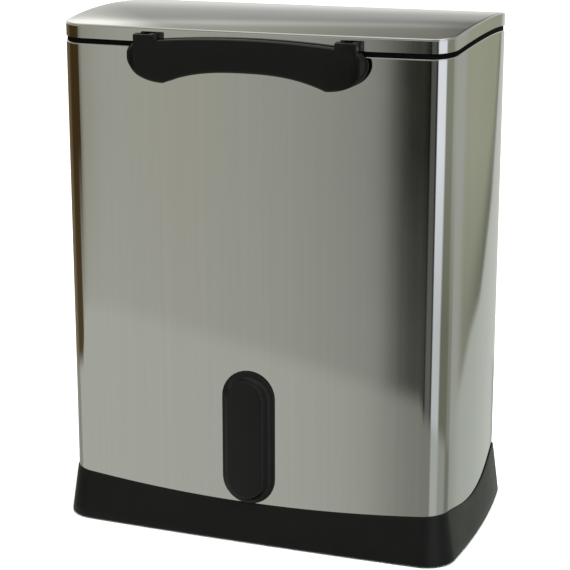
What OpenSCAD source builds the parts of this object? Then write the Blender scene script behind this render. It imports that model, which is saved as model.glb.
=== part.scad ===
// Hand-operated household trash compactor: a steel bin with a crowned lid, a swing-out press
// handle on the lid, a toe pad low on the front, and a scissor ram that hangs under the lid
// and presses the rubbish down into a lift-out bucket.
// Origin: on the floor, in the middle of the steel casing. +Z up, the front faces -Y.

/* [Casing] */
// Widest width of the steel casing
casing_w = 486; // [470:2:520]
// Depth of the steel casing, back to the middle of its front
casing_d = 266; // [262:2:280]
// Height of the crown of the lid above the floor
overall_h = 626; // [610:2:700]
// How far the front bows out between its corners
front_bow = 4; // [3:0.5:6]
// Radius that the sides bow to, seen from above
side_r = 1135; // [1000:5:1600]
// Radius of the two upright front corners
corner_r = 27; // [22:1:30]
// Thickness of the steel sheet
sheet_t = 1.2; // [0.8:0.1:1.5]
// Radius of the crown of the lid, seen from the side
crown_r = 1040; // [900:10:1400]

/* [Base] */
// How far the foot of the base collar stands out from the casing
collar_foot = 10; // [8:1:18]
// How far the top edge of the base collar stands out from the casing
collar_lip = 3.5; // [3:0.5:5]
// Height of the base collar at its corners
collar_h = 64; // [60:1:76]
// How far the top edge of the collar dips along the front and the back
collar_dip = 15; // [8:1:18]
// How steeply the top edge of the collar rises from the middle of each side
collar_side_rise = 36; // [15:1:40]

/* [Lid and handle] */
// Height of the steel lip round the lid
lip_h = 16; // [14:1:20]
// Height of the black seal between the casing and the lid
seal_h = 5.6; // [4:0.2:7]
// Width of the handle over its rounded ends
handle_w = 298; // [270:2:320]
// Thickness of the handle grip
grip_t = 12; // [11:0.5:13]

/* [Toe pad] */
// Width of the toe pad
pad_w = 66; // [62:1:68]
// Height of the toe pad
pad_h = 166; // [150:2:170]
// How far the toe pad stands out from the casing
pad_proud = 15; // [12:1:18]

/* [Ram] */
// Length of a scissor arm between its end pins
arm_l = 178; // [170:1:178]
// Slope of the arms when the ram is stowed, in degrees
arm_slope = 9; // [9:0.5:11]
// Thickness of a scissor arm
arm_t = 4; // [3:0.5:4]

/* [Hidden] */

steel = "silver";
dark_steel = "dimgray";
black = [0.09, 0.09, 0.09];
grey = [0.45, 0.46, 0.46];

// plan outline: a bowed front, two bowed sides, rounded front corners and a flat back
back_y = casing_d / 2;
front_y = -casing_d / 2;
side_peak_y = -25;
front_r = (pow(casing_w / 2, 2) + pow(front_bow, 2)) / (2 * front_bow);
front_c = [0, front_y + front_r];
side_c = [casing_w / 2 - side_r, side_peak_y];
corner_c = meet(front_c, front_r - corner_r, side_c, side_r - corner_r);
bow_fn = 2880;
crown_fn = 1440;

// crown: everything on top follows one arc about an axis along X
crown_y = 20;
crown_z = overall_h - crown_r;
lip_r = crown_r - lip_h;
rim_r = lip_r - 0.4;
casing_top_r = lip_r - seal_h - 0.4;
liner_r = lip_r + 2;

// base
foot_h = 1.5;
foot_x = 205;
foot_rows = [-104, 96];
foot_peg_r = 3;
floor_z = 9;
pan_top = floor_z + 1;
pan_flange = 11;
collar_mid_h = collar_h - collar_dip;

// rim round the mouth
rim_bottom = overall_h - 54;
rim_inset = 12;

// lid
plug_inset = 14;
plug_z = overall_h - 34;
plug_t = 3;
hinge_y = back_y + 7;
hinge_z = overall_h - 25;
hinge_r = 5;
hinge_pin_r = 2.5;
hinge_x = 140;
knuckle_l = 23;

// handle
pivot_y = front_y - 7;
pivot_z = overall_h - 24;
grip_front_y = front_y - 15;
grip_back_y = grip_front_y + grip_t;
arm_in = 110;
arm_out = 136;
barrel_r = 7.5;
lug_r = 4.5;
rod_r = 2;

// toe pad mechanism
pad_z = collar_mid_h + pad_h / 2;
pad_r = pad_w / 2;
stem_r = 5;
stem_z = collar_mid_h + 86;
shell_in_y = front_y + sheet_t;
guide_y = shell_in_y + 0.3;
guide_plate_y = front_y + 12;
crank_y = front_y + 20.5;
crank_z = stem_z - 42;
crank_r = 3;
lift_x = 45;
lift_y = front_y + 8;
lift_r = 2.5;
lift_top = overall_h - 27;
running = 0.08;

// bucket
bucket_x = 215;
bucket_front = front_y + 39;
bucket_back = back_y - 15;
bucket_t = 2.2;
bucket_z = pan_top;
bucket_top = overall_h - 128;
bucket_r = 22;

// scissor ram: the pins at rest, and the layers of flat parts from the middle outwards
pin_y = back_y - 31;
pin_z = overall_h - 43;
reach = arm_l * cos(arm_slope);
drop = arm_l * sin(arm_slope);
arm_w = 16;
pin_r = 4;
inner_x = 143;
layer_a = 150;
layer_b = 156;
outer_x = 162;
rail_t = 4;
roller_r = 5.5;
rail_front = -84;
rail_back = 112;
plate_x = 205;
plate_front = -84;
plate_back = 110;
plate_z = pin_z - 2 * drop - 15;
plate_t = 6;

// screws: the back panel's stand in two columns, the base's at four corners
screw_r = 2;
screw_head_r = 4;
screw_x = 223;
screw_heights = [95, 325, 555];
base_screw_x = 190;
base_screw_y = 85;

// the crossing of two circles that lies to the right, as seen from a towards b
function meet(a, ra, b, rb) =
    let (d = norm(b - a), u = (b - a) / d, k = (d * d + ra * ra - rb * rb) / (2 * d))
    a + k * u + sqrt(ra * ra - k * k) * [-u.y, u.x];

// the point where a corner bend runs into the bow about centre c, radius r
function tangent(c, r) = c + (corner_c - c) / norm(corner_c - c) * r;

// outline of the casing seen from above, moved inwards by inset; back moves the flat back
module plan(inset = 0, back = 0) {
    outward = [1, -1] * 2 * corner_r;
    difference() {
        intersection() {
            translate(front_c) circle(r = front_r - inset, $fn = bow_fn);
            translate(side_c) circle(r = side_r - inset, $fn = crown_fn);
            mirror([1, 0]) translate(side_c) circle(r = side_r - inset, $fn = crown_fn);
            translate([-casing_w, -casing_d]) square([2 * casing_w, casing_d + back_y - back]);
        }
        for (side = [0, 1]) mirror([side, 0]) difference() {
            polygon([corner_c, tangent(front_c, front_r - inset), corner_c + outward,
                     tangent(side_c, side_r - inset)]);
            translate(corner_c) circle(r = corner_r - inset, $fn = 96);
        }
    }
}

module slab(z0, z1, inset = 0, back = 0) {
    translate([0, 0, z0]) linear_extrude(z1 - z0) plan(inset, back);
}

// a block bounded by two opposite corners
module block(a, b) {
    translate(a) cube(b - a);
}

// points along an arc about centre c, from angle a0 to a1 in steps of step
function arc(c, r, a0, a1, step) = [for (a = [a0:step:a1]) c + r * [cos(a), sin(a)]];

// an outline drawn in the YZ plane, swept along X from x0 to x1
module sweep_x(x0, x1) {
    translate([x0, 0, 0]) rotate([90, 0, 90]) linear_extrude(x1 - x0) children();
}

// an outline drawn in the XZ plane, swept along Y from y0 to y1
module sweep_y(y0, y1) {
    translate([0, y1, 0]) rotate([90, 0, 0]) linear_extrude(y1 - y0) children();
}

// everything below the arc of radius r of the crown
module crown(r) {
    span = 16;
    half = casing_d;
    sweep_x(-casing_w, casing_w)
        polygon(concat(arc([crown_y, crown_z], r, 90 - span, 90 + span, 0.5),
                       [[crown_y - half, 0], [crown_y + half, 0]]));
}

// outline of the space above a dip in the collar that is depth deep over twice half
module above_dip(half, depth) {
    r = (half * half + depth * depth) / (2 * depth);
    edge = asin(half / r) * 1.15;
    top = 2 * collar_h;
    polygon(concat(arc([0, collar_mid_h + r], r, 270 - edge, 270 + edge, edge / 24),
                   [[2 * half, top], [-2 * half, top]]));
}

// a round bar along X from x0 to x1
module x_bar(r, x0, x1, y, z) {
    translate([x0, y, z]) rotate([0, 90, 0]) cylinder(r = r, h = x1 - x0, $fn = 48);
}

// a round bar along Y from y0 to y1
module y_bar(r, y0, y1, x, z) {
    translate([x, y0, z]) rotate([-90, 0, 0]) cylinder(r = r, h = y1 - y0, $fn = 48);
}

module both_sides() {
    children();
    mirror([1, 0, 0]) children();
}

// an upright pill with round ends, extruded along Y
module pill(r, height, y0, y1) {
    half = height / 2 - r;
    for (end = [-1, 1]) y_bar(r, y0, y1, 0, pad_z + end * half);
    block([-r, y0, pad_z - half], [r, y1, pad_z + half]);
}

// a coil of round wire about an axis along X, starting at x0
module coil(r, wire, turns, pitch, x0, y, z) {
    sides = 8;
    steps = 14;
    rings = turns * steps;
    points = [for (i = [0:rings]) let (a = 360 * i / steps) for (k = [0:sides - 1])
        let (b = 360 * k / sides, q = r + wire * cos(b))
        [x0 + pitch * i / steps + wire * sin(b), y + q * cos(a), z + q * sin(a)]];
    faces = concat([[for (k = [0:sides - 1]) k]],
        [for (i = [0:rings - 1]) for (k = [0:sides - 1]) let (n = (k + 1) % sides)
            [i * sides + k, (i + 1) * sides + k, (i + 1) * sides + n, i * sides + n]],
        [[for (k = [sides - 1:-1:0]) rings * sides + k]]);
    polyhedron(points, faces, convexity = 6);
}

// ---- base ----
module at_feet() {
    both_sides() for (y = foot_rows) translate([foot_x, y, 0]) children();
}

module at_base_screws() {
    both_sides() for (y = [-base_screw_y, base_screw_y]) translate([base_screw_x, y, 0]) children();
}

module base_plinth() {
    color(black) difference() {
        hull() {
            slab(foot_h, foot_h + 0.5, -collar_foot + 2, -2);
            slab(foot_h + 5, foot_h + 5.5, -collar_foot, -3);
            slab(collar_h + 2, collar_h + 2.5, -collar_lip, -3);
        }
        slab(floor_z, collar_h + 4, -0.3, -0.3);
        slab(-1, floor_z - 4, 2 - collar_foot / 2, 4);
        difference() {
            slab(-1, 30, -collar_foot / 2 + 0.5, -1);
            slab(-2, 31, -2.8, -0.5);
        }
        sweep_y(-casing_w, casing_w) above_dip(casing_w / 2, collar_dip);
        sweep_x(-casing_w, casing_w) above_dip(casing_d / 2, collar_side_rise);
        at_base_screws() cylinder(r = screw_r + 0.3, h = 30, $fn = 32);
        at_feet() cylinder(r = foot_peg_r, h = 30, $fn = 32);
    }
}

module rubber_feet() {
    color("black") at_feet() {
        cylinder(r = 13, h = floor_z - 4, $fn = 48);
        cylinder(r = foot_peg_r, h = floor_z - 0.2, $fn = 32);
    }
}

module base_screws() {
    color(dark_steel) at_base_screws() {
        translate([0, 0, floor_z - 6.5]) cylinder(r = screw_head_r, h = 2.5, $fn = 32);
        translate([0, 0, floor_z - 5]) cylinder(r = screw_r, h = 5.9, $fn = 32);
    }
}

// steel tray that the casing stands on, with a flange folded up inside the casing
module bottom_pan() {
    flange = sheet_t + 0.1;
    color(steel) difference() {
        union() {
            slab(floor_z, pan_top, 0.1, 0.1);
            slab(floor_z, floor_z + pan_flange, flange, flange);
        }
        slab(pan_top, floor_z + pan_flange + 1, flange + 1, flange + 1);
        at_base_screws() cylinder(r = screw_r, h = 30, $fn = 32);
    }
}

// ---- casing ----
module at_casing_screws() {
    both_sides() for (z = screw_heights) translate([screw_x, back_y, z]) children();
}

module body_shell() {
    color(steel) difference() {
        intersection() {
            slab(pan_top, overall_h);
            crown(casing_top_r);
        }
        slab(0, overall_h + 1, sheet_t, sheet_t);
        block([-218, back_y - 2, 35], [218, back_y + 2, rim_bottom - 12]);
        pill(pad_r + 0.4, pad_h + 0.8, front_y - 3, front_y + 8);
        at_casing_screws() y_bar(screw_r, -4, 4, 0, 0);
    }
}

module back_panel() {
    color(steel) difference() {
        block([-screw_x - 4, back_y - sheet_t - 1.2, floor_z + pan_flange + 2],
              [screw_x + 4, back_y - sheet_t - 0.2, rim_bottom - 1]);
        at_casing_screws() y_bar(screw_r, -4, 4, 0, 0);
    }
}

module casing_screws() {
    color(dark_steel) at_casing_screws() {
        y_bar(screw_r - 0.1, -8, 0.05, 0, 0);
        y_bar(screw_head_r, 0.05, 1.8, 0, 0);
    }
}

module top_rim() {
    color(black) difference() {
        intersection() {
            slab(rim_bottom, overall_h, sheet_t + 0.1, sheet_t + 0.1);
            crown(rim_r);
        }
        slab(0, overall_h + 1, rim_inset, rim_inset);
        translate([lift_x, lift_y, rim_bottom - 1]) cylinder(r = lift_r + running, h = 40, $fn = 48);
        block([-20.2, front_y + 3.8, lift_top - 12], [20.2, front_y + 10.2, lift_top + 5]);
    }
}

module magnet_catch() {
    color(dark_steel) block([-20, front_y + 4, lift_top - 11.8], [20, front_y + 10, lift_top]);
}

module rod_clips() {
    color(black) for (z = [250, 420]) difference() {
        block([lift_x - 6, shell_in_y + 0.45, z], [lift_x + 6, lift_y + 5, z + 12]);
        translate([lift_x, lift_y, z - 1]) cylinder(r = lift_r + running, h = 14, $fn = 48);
    }
}

// ---- toe pad and its lifter ----
module kick_pad() {
    face_w = pad_w - 20;
    color(black) {
        pill(pad_r, pad_h, front_y - 2, front_y + 1.5);
        hull() {
            pill(pad_r - 0.5, pad_h - 1, front_y - 3, front_y - 2);
            pill(face_w / 2 + 3, pad_h - 14, front_y - pad_proud + 1, front_y - pad_proud + 2);
            pill(face_w / 2, pad_h - 20, front_y - pad_proud, front_y - pad_proud + 1);
        }
        y_bar(stem_r, front_y + 1, crank_y - 5.5, 0, stem_z);
        y_bar(2, crank_y - 6, crank_y - 3.1, 0, stem_z);
    }
}

module pad_guide() {
    color(grey) difference() {
        union() {
            difference() {
                pill(pad_r + 4, pad_h + 8, guide_y, guide_plate_y + 3);
                pill(pad_r + 1, pad_h + 2, guide_y - 1, guide_plate_y);
            }
            for (x = [-16, 29]) block([x, guide_plate_y + 2, crank_z - 7],
                                      [x + 6, crank_y + 5, crank_z + 7]);
        }
        y_bar(stem_r + running, guide_plate_y - 1, guide_plate_y + 5, 0, stem_z);
        x_bar(crank_r + running, -30, 40, crank_y, crank_z);
    }
}

module release_crank() {
    color(dark_steel) {
        x_bar(crank_r, -18, 49, crank_y, crank_z);
        block([-4, crank_y - 2.5, crank_z], [4, crank_y + 2.5, stem_z + 6]);
        x_bar(5, -4, 4, crank_y, crank_z);
        x_bar(4.5, 41, 49, crank_y, crank_z);
        block([41, lift_y - 3, crank_z - 3], [49, crank_y, crank_z + 3]);
    }
}

module crank_spring() {
    color("gray") coil(4.4, 0.6, 6, 1.9, 8, crank_y, crank_z);
}

module lifter_rod() {
    color(dark_steel) translate([lift_x, lift_y, crank_z + 3.6])
        cylinder(r = lift_r, h = lift_top - crank_z - 4.3, $fn = 48);
}

// ---- bucket ----
module rounded_box(x, y0, y1, r) {
    for (sx = [-1, 1]) for (y = [y0 + r, y1 - r])
        translate([sx * (x - r), y]) circle(r = r, $fn = 64);
    translate([-x, y0 + r]) square([2 * x, y1 - y0 - 2 * r]);
    translate([-x + r, y0]) square([2 * (x - r), y1 - y0]);
}

module waste_bucket() {
    color(grey) difference() {
        union() {
            translate([0, 0, bucket_z]) linear_extrude(bucket_top - bucket_z)
                rounded_box(bucket_x, bucket_front, bucket_back, bucket_r);
            translate([0, 0, bucket_top - 4]) linear_extrude(4)
                rounded_box(bucket_x + 4, bucket_front - 3, bucket_back + 1.5, bucket_r + 2);
        }
        translate([0, 0, bucket_z + 3]) linear_extrude(bucket_top)
            rounded_box(bucket_x - bucket_t, bucket_front + bucket_t, bucket_back - bucket_t,
                        bucket_r - bucket_t);
        // hand holes in the two ends
        for (sx = [-1, 1]) block([sx * bucket_x - 6, -40, bucket_top - 50],
                                 [sx * bucket_x + 6, 45, bucket_top - 26]);
    }
}

module bag_ring() {
    color(steel) translate([0, 0, bucket_top]) linear_extrude(5) difference() {
        rounded_box(bucket_x + 3, bucket_front - 2, bucket_back + 1, bucket_r + 1);
        rounded_box(bucket_x - 3, bucket_front + 3, bucket_back - 3, bucket_r - 3);
    }
}

// ---- hinge ----
module body_hinge_leaves() {
    color(dark_steel) both_sides() translate([hinge_x, 0, 0]) difference() {
        union() {
            block([-30, back_y, hinge_z - 36], [30, back_y + 2, hinge_z - 4]);
            for (x = [-30, 12]) {
                x_bar(hinge_r, x, x + 18, hinge_y, hinge_z);
                block([x, back_y, hinge_z - 5], [x + 18, hinge_y, hinge_z - 2.6]);
            }
        }
        x_bar(hinge_pin_r, -40, 40, hinge_y, hinge_z);
    }
}

module hinge_pins() {
    color("gray") both_sides() x_bar(hinge_pin_r, hinge_x - 32, hinge_x + 32, hinge_y, hinge_z);
}

module lid_hinge_leaves() {
    color(dark_steel) both_sides() translate([hinge_x, 0, 0]) difference() {
        union() {
            block([-28, back_y, hinge_z + 5.5], [28, back_y + 1.8, hinge_z + 16]);
            x_bar(hinge_r, -knuckle_l / 2, knuckle_l / 2, hinge_y, hinge_z);
            block([-knuckle_l / 2, back_y, hinge_z + 3], [knuckle_l / 2, hinge_y, hinge_z + 6]);
        }
        x_bar(hinge_pin_r + running, -40, 40, hinge_y, hinge_z);
    }
}

// ---- lid ----
module lid_shell() {
    color(steel) difference() {
        intersection() {
            slab(plug_z, overall_h + 2);
            crown(crown_r);
        }
        crown(lip_r);
        intersection() {
            slab(plug_z - 1, overall_h + 3, sheet_t, sheet_t);
            crown(crown_r - sheet_t);
        }
        both_sides() bracket_tongue(0.15);
    }
}

module lid_liner() {
    color(black) difference() {
        union() {
            intersection() {
                slab(plug_z, overall_h, plug_inset, plug_inset);
                crown(liner_r + plug_t);
            }
            difference() {
                intersection() {
                    slab(plug_z, overall_h, sheet_t + 0.3, sheet_t + 0.3);
                    crown(liner_r + plug_t);
                }
                crown(liner_r);
            }
        }
        slab(plug_z + plug_t, overall_h + 1, plug_inset + plug_t, plug_inset + plug_t);
        // vent holes under the filter
        for (x = [-32:8:32]) translate([x, 10, plug_z - 1]) cylinder(r = 2.5, h = 9, $fn = 32);
        both_sides() bracket_tongue(0.15);
        block([-20.1, front_y + 3.9, lift_top], [20.1, front_y + 10.1, lift_top + 2.3]);
    }
}

module odor_filter() {
    color(dark_steel) block([-45, -20, plug_z + plug_t + 0.2], [45, 40, plug_z + plug_t + 12]);
}

module strike_plate() {
    color(dark_steel) block([-20, front_y + 4, lift_top + 0.9], [20, front_y + 10, lift_top + 2.2]);
}

// the tongue of a handle bracket, which reaches through the lip and ends in a plate behind it
module bracket_tongue(gap = 0) {
    block([119 - gap, pivot_y, pivot_z - 3 - gap], [127 + gap, front_y + 2.5, pivot_z + 4 + gap]);
    block([117 - gap, front_y + 2 - gap, pivot_z - 1 - gap],
          [129 + gap, front_y + 3.2 + gap, pivot_z + 6 + gap]);
}

module handle_brackets() {
    color(dark_steel) both_sides() difference() {
        union() {
            x_bar(lug_r, 119, 127, pivot_y, pivot_z);
            bracket_tongue();
        }
        x_bar(rod_r + running, 100, 140, pivot_y, pivot_z);
    }
}

// half outline of the grip seen from the front, as height below the pivot against x
function grip_bottom(x) =
    let (peak = 99, depth = 48.5, arch = 34)
    x < peak ? arch + (depth - arch) * (1 - cos(180 * x / peak)) / 2
             : depth - (1 - sqrt(max(0, 1 - pow((x - peak) / (handle_w / 2 - peak), 2)))) * 26;
function grip_top(x) =
    x < 106 ? -5 + 5 * pow(x / 106, 2)
            : x < arm_out ? 0 : 6 + 16.5 * pow((x - arm_out) / (handle_w / 2 - arm_out), 2);

module handle_grip() {
    xs = [for (x = [0:5.5:132]) x, for (k = [1:10]) arm_out + (handle_w / 2 - arm_out) * sin(9 * k)];
    outline = concat([for (x = xs) [x, pivot_z - grip_top(x)]],
                     [for (i = [len(xs) - 1:-1:0]) [xs[i], pivot_z - grip_bottom(xs[i])]]);
    color(black) both_sides() difference() {
        union() {
            translate([0, grip_back_y, 0]) rotate([90, 0, 0]) linear_extrude(grip_t) polygon(outline);
            x_bar(barrel_r, arm_in, arm_out, pivot_y, pivot_z);
            block([arm_in, grip_front_y, pivot_z - 10], [arm_out, grip_back_y, pivot_z]);
        }
        block([115.5, pivot_y - 5, pivot_z - 8], [130.5, grip_back_y + 20, pivot_z + 12]);
        x_bar(rod_r, 100, 150, pivot_y, pivot_z);
        // finger hollow behind the grip
        block([-1, grip_back_y - 5, pivot_z - 30], [96, grip_back_y + 1, pivot_z - 8]);
    }
}

module handle_rods() {
    color("gray") both_sides() x_bar(rod_r, arm_in + 1, arm_out - 1, pivot_y, pivot_z);
}

module handle_springs() {
    color("gray") both_sides() coil(3, 0.35, 3, 0.8, 116.1, pivot_y, pivot_z);
}

// ---- ram ----
// a flat arm along Y from one pin towards another, in the layer that starts at x
module flat_arm(x, from, to, bores) {
    along = to - from;
    slope = atan2(along.y, along.x);
    length = norm(along);
    both_sides() difference() {
        translate([x, from.x, from.y]) rotate([slope, 0, 0]) {
            x_bar(arm_w / 2, 0, arm_t, 0, 0);
            x_bar(arm_w / 2, 0, arm_t, length, 0);
            block([0, 0, -arm_w / 2], [arm_t, length, arm_w / 2]);
        }
        for (bore = bores) x_bar(bore[1], x - 1, x + arm_t + 1,
                                 from.x + along.x * bore[0], from.y + along.y * bore[0]);
    }
}

// pin positions at rest, as [y, z]: rear and front column, from the lid down
function rear_pin(level) = [pin_y, pin_z - level * drop];
function front_pin(level) = [pin_y - reach, pin_z - level * drop];
function center_pin(stage) = (rear_pin(stage) + front_pin(stage + 1)) / 2;

module pin_pair(r, x0, x1, at) {
    both_sides() x_bar(r, x0, x1, at.x, at.y);
}

module upper_arms_rear() {
    color("lightgray")
        flat_arm(layer_a, rear_pin(0), front_pin(1),
                 [[0, pin_r + running], [0.5, pin_r], [1, pin_r]]);
}

module upper_arms_front() {
    color("lightgray")
        flat_arm(layer_b, front_pin(0), rear_pin(1),
                 [[0, pin_r], [0.5, pin_r + running], [1, pin_r]]);
}

module lower_arms_rear() {
    color("lightgray")
        flat_arm(layer_a, rear_pin(1), front_pin(2),
                 [[0, pin_r + running], [0.5, pin_r], [1, pin_r]]);
}

module lower_arms_front() {
    color("lightgray")
        flat_arm(layer_b, front_pin(1), rear_pin(2),
                 [[0, pin_r + 0.3], [0.5, pin_r + running], [1, pin_r + running]]);
}

module upper_center_pins() {
    color("gray") pin_pair(pin_r, layer_a - 1, layer_b + arm_t + 1, center_pin(0));
}

module lower_center_pins() {
    color("gray") pin_pair(pin_r, layer_a - 1, layer_b + arm_t + 1, center_pin(1));
}

module front_cross_rod() {
    color("gray") x_bar(pin_r, -layer_b - arm_t - 1, layer_b + arm_t + 1,
                        front_pin(1).x, front_pin(1).y);
}

module rear_cross_rod() {
    color("gray") x_bar(pin_r, -layer_b - arm_t - 1, layer_b + arm_t + 1,
                        rear_pin(1).x, rear_pin(1).y);
}

module upper_rollers() {
    color("white") {
        pin_pair(pin_r, layer_b, outer_x + rail_t + 1, front_pin(0));
        both_sides() difference() {
            x_bar(roller_r, outer_x - 0.7, outer_x + rail_t + 0.7, front_pin(0).x, front_pin(0).y);
            x_bar(pin_r, outer_x - 5, outer_x + 10, front_pin(0).x, front_pin(0).y);
        }
    }
}

module lower_rollers() {
    color("white") {
        pin_pair(pin_r, inner_x - 1, layer_a + arm_t, front_pin(2));
        both_sides() difference() {
            x_bar(roller_r, inner_x - 0.7, inner_x + rail_t + 0.7, front_pin(2).x, front_pin(2).y);
            x_bar(pin_r, inner_x - 5, inner_x + 10, front_pin(2).x, front_pin(2).y);
        }
    }
}

// an upright rail with a long slot for a roller
module slotted_rail(x, z, z0, z1) {
    slot_r = roller_r + 0.2;
    slot_back = pin_y - reach + 70;
    both_sides() difference() {
        block([x, rail_front, z0], [x + rail_t, rail_back - 10, z1]);
        x_bar(slot_r, x - 1, x + rail_t + 1, pin_y - reach - 0.5, z);
        x_bar(slot_r, x - 1, x + rail_t + 1, slot_back, z);
        block([x - 1, pin_y - reach - 0.5, z - slot_r], [x + rail_t + 1, slot_back, z + slot_r]);
    }
}

module lid_rails() {
    color(dark_steel) slotted_rail(outer_x, pin_z, pin_z - 9.5, plug_z);
}

module lid_brackets() {
    color(dark_steel) both_sides() difference() {
        block([inner_x, pin_y - 22, pin_z - 9.5], [inner_x + rail_t, pin_y + 12, plug_z]);
        x_bar(pin_r, inner_x - 1, inner_x + 10, rear_pin(0).x, rear_pin(0).y);
    }
}

module lid_pins() {
    color("gray") pin_pair(pin_r, inner_x - 1, layer_a + arm_t + 1, rear_pin(0));
}

module ram_springs() {
    color("gray") both_sides() coil(6, 1.1, 5, 2.7, 126, rear_pin(1).x, rear_pin(1).y);
}

module ram_rails() {
    color(dark_steel) slotted_rail(inner_x, front_pin(2).y, plate_z + plate_t, front_pin(2).y + 9.5);
}

module ram_brackets() {
    color(dark_steel) both_sides() difference() {
        block([outer_x, pin_y - 22, plate_z + plate_t], [outer_x + rail_t, pin_y + 8, rear_pin(2).y + 9]);
        x_bar(pin_r, outer_x - 1, outer_x + 10, rear_pin(2).x, rear_pin(2).y);
    }
}

module ram_pins() {
    color("gray") pin_pair(pin_r, layer_b - 1, outer_x + rail_t + 1, rear_pin(2));
}

module ram_plate() {
    color(steel) translate([0, 0, plate_z]) difference() {
        linear_extrude(plate_t) rounded_box(plate_x, plate_front, plate_back, 18);
        translate([0, 0, 1.6]) linear_extrude(plate_t) for (k = [-1:1])
            translate([k * 66, 0]) rounded_box(28, plate_front + 12, plate_back - 12, 8);
    }
}

module ram_pad() {
    color(black) translate([0, 0, plate_z - 4]) difference() {
        linear_extrude(4) rounded_box(plate_x + 1.5, plate_front - 1.5, plate_back + 1.5, 19.5);
        for (y = [-60:24:86]) block([-190, y, -1], [190, y + 6, 1.5]);
    }
}

base_plinth();
rubber_feet();
bottom_pan();
body_shell();
back_panel();
top_rim();
rod_clips();
pad_guide();
kick_pad();
release_crank();
crank_spring();
lifter_rod();
magnet_catch();
waste_bucket();
bag_ring();
body_hinge_leaves();
hinge_pins();
lid_shell();
lid_liner();
strike_plate();
odor_filter();
lid_hinge_leaves();
handle_brackets();
handle_grip();
handle_rods();
handle_springs();
lid_rails();
lid_brackets();
lid_pins();
upper_arms_rear();
front_cross_rod();
upper_center_pins();
ram_springs();
upper_arms_front();
rear_cross_rod();
upper_rollers();
lower_arms_rear();
lower_center_pins();
lower_rollers();
lower_arms_front();
ram_plate();
ram_pad();
ram_rails();
ram_brackets();
ram_pins();
casing_screws();
base_screws();
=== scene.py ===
"""Looks of a hand-operated household trash compactor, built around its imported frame.

Metres, +Z up, the front faces -Y and the origin is on the floor under the middle of the casing.
"""
import math

import bmesh
import bpy
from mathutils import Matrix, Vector

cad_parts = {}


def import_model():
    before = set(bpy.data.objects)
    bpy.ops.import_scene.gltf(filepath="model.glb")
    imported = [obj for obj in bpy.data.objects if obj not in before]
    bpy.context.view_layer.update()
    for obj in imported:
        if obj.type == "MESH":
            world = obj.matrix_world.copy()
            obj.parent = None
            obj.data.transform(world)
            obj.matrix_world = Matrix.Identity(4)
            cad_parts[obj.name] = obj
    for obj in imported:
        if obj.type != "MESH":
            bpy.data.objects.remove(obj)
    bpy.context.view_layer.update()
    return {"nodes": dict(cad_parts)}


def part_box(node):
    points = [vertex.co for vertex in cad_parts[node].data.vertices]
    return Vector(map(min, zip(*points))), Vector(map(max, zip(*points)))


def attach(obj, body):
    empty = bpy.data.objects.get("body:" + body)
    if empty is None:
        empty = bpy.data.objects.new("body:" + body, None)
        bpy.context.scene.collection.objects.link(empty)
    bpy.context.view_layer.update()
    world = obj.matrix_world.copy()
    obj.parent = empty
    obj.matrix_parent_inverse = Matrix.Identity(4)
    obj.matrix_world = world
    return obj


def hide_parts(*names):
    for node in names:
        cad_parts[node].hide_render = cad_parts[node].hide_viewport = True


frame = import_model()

MM = 0.001

# ---- sizes of the whole bin, read off the frame where the frame has them ----
SHELL_LOW, SHELL_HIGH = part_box("body_shell")
FRONT_Y, BACK_Y = SHELL_LOW.y, SHELL_HIGH.y
HALF_W = SHELL_HIGH.x
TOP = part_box("lid_shell")[1].z
SHEET = 1.2 * MM
FRONT_BOW = 4 * MM
SIDE_R, SIDE_PEAK_Y = 1.135, -0.025
CORNER_R, REAR_CORNER_R = 27 * MM, 2.5 * MM
CROWN_Y, CROWN_R = 0.020, 1.040
LIP_H, SEAL_H = 16 * MM, 6 * MM
LIP_R = CROWN_R - LIP_H
CASING_TOP_R = LIP_R - SEAL_H
SEAL_TOP_R = LIP_R - 0.4 * MM
# Height of the collar's top edge where it is lowest, in the middle of each side
COLLAR_MID = 49 * MM

# the bow of the front, and the centres of the bends in the outline
FRONT_R = (HALF_W ** 2 + FRONT_BOW ** 2) / (2 * FRONT_BOW)
FRONT_C = Vector((0, FRONT_Y + FRONT_R))
SIDE_C = Vector((HALF_W - SIDE_R, SIDE_PEAK_Y))


def meet(a, ra, b, rb, side):
    """The crossing of two circles, on the left (1) or the right (-1) of the way from a to b."""
    span = (b - a).length
    u = (b - a) / span
    k = (span * span + ra * ra - rb * rb) / (2 * span)
    return a + u * k + Vector((-u.y, u.x)) * side * math.sqrt(ra * ra - k * k)


CORNER_C = meet(FRONT_C, FRONT_R - CORNER_R, SIDE_C, SIDE_R - CORNER_R, 1)


def spread(a, b, n):
    """n + 1 evenly spaced values from a to b."""
    return [a + (b - a) * i / n for i in range(n + 1)]


def angle_of(v):
    return math.atan2(v.y, v.x)


def at(angle):
    """The point at that angle on a circle of radius 1."""
    return Vector((math.cos(angle), math.sin(angle)))


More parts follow.
